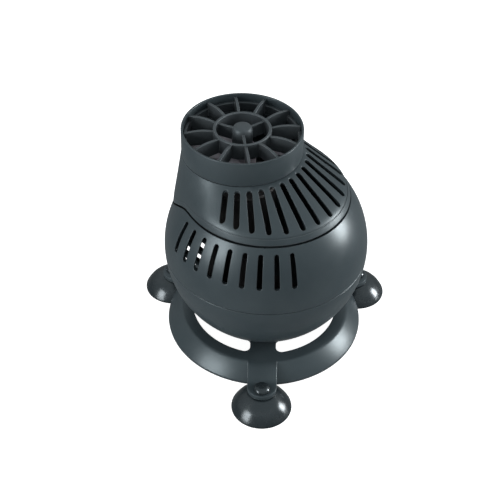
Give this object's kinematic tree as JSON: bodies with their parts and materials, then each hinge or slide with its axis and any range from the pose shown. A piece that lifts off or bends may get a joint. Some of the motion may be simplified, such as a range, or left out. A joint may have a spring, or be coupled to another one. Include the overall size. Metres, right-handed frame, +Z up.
{
  "type": "wave maker pump",
  "caption": "Ball-shaped submersible circulation pump with a slotted cap, a round guarded outlet and a propeller inside, on a swivel base held by rubber suction cups.",
  "frame": {"origin": "on the floor plane of the suction cups, at the middle of the footprint of the whole pump", "axes": "+Z up along the outlet, -Y towards the front suction cup, +Y towards the cord gland at the back"},
  "size_m": [0.138, 0.1372, 0.1282],
  "materials": {
    "shell_plastic": "dark slate moulded plastic, satin",
    "cap_plastic": "dark slate moulded plastic, satin",
    "base_plastic": "dark slate moulded plastic, satin",
    "guard_plastic": "dark slate moulded plastic, satin",
    "cup_rubber": "smooth glossy rubber",
    "lining_rubber": "dull rubber",
    "propeller_plastic": "moulded plastic, satin",
    "stainless_steel": "plain stainless steel",
    "motor_plastic": "black moulded plastic",
    "ceramic": "polished ceramic",
    "magnet_ferrite": "ground ferrite",
    "core_steel": "stacked steel sheets",
    "coil_copper": "enamelled copper wire; brass stands in for copper"
  },
  "bodies": {
    "base": {"base_ring": "base_plastic", "suction_cup_front": "cup_rubber", "suction_cup_right": "cup_rubber", "suction_cup_left": "cup_rubber", "swivel_screw": "stainless_steel", "clamp_disc": "motor_plastic", "clamp_spring": "stainless_steel", "clamp_nut": "stainless_steel"},
    "swivel": {"swivel_lining": "lining_rubber"},
    "ball": {"lower_bowl": "shell_plastic", "upper_shell": "shell_plastic", "motor_capsule": "motor_plastic", "capsule_floor": "motor_plastic", "capsule_screw_1": "stainless_steel", "capsule_screw_2": "stainless_steel", "capsule_screw_3": "stainless_steel", "stator_core": "core_steel", "bobbin_left": "motor_plastic", "bobbin_right": "motor_plastic", "coil_left": "coil_copper", "coil_right": "coil_copper", "rear_bush": "lining_rubber", "shaft": "ceramic", "well_cover": "motor_plastic", "cord_gland": "base_plastic", "gland_seal": "lining_rubber"},
    "cap": {"cap_shell": "cap_plastic", "nozzle_ring": "cap_plastic", "outlet_guard": "guard_plastic", "front_bush": "lining_rubber"},
    "rotor": {"rotor_magnet": "magnet_ferrite", "rotor_sleeve": "motor_plastic", "rotor_bearing_rear": "ceramic", "rotor_bearing_front": "ceramic"},
    "propeller": {"propeller": "propeller_plastic"}
  },
  "joints": [
    {"name": "ball_turn", "type": "hinge", "parent": "base", "child": "swivel", "pos_m": [0, 0.0086, 0.06214], "axis": [0, 0, 1], "range_deg": [-170, 170]},
    {"name": "ball_tilt", "type": "hinge", "parent": "swivel", "child": "ball", "pos_m": [0, 0.0086, 0.06214], "axis": [1, 0, 0], "range_deg": [-10, 10]},
    {"name": "cap_lift", "type": "slide", "parent": "ball", "child": "cap", "axis": [0, 0, 1], "range_m": [0, 0.06]},
    {"name": "rotor_spin", "type": "hinge", "parent": "ball", "child": "rotor", "pos_m": [-0.01348, 0.02007, 0.06214], "axis": [0, 0, 1], "continuous": true},
    {"name": "propeller_slip", "type": "hinge", "parent": "rotor", "child": "propeller", "pos_m": [-0.01348, 0.02007, 0.06214], "axis": [0, 0, 1], "range_deg": [-115, 115]}
  ]
}
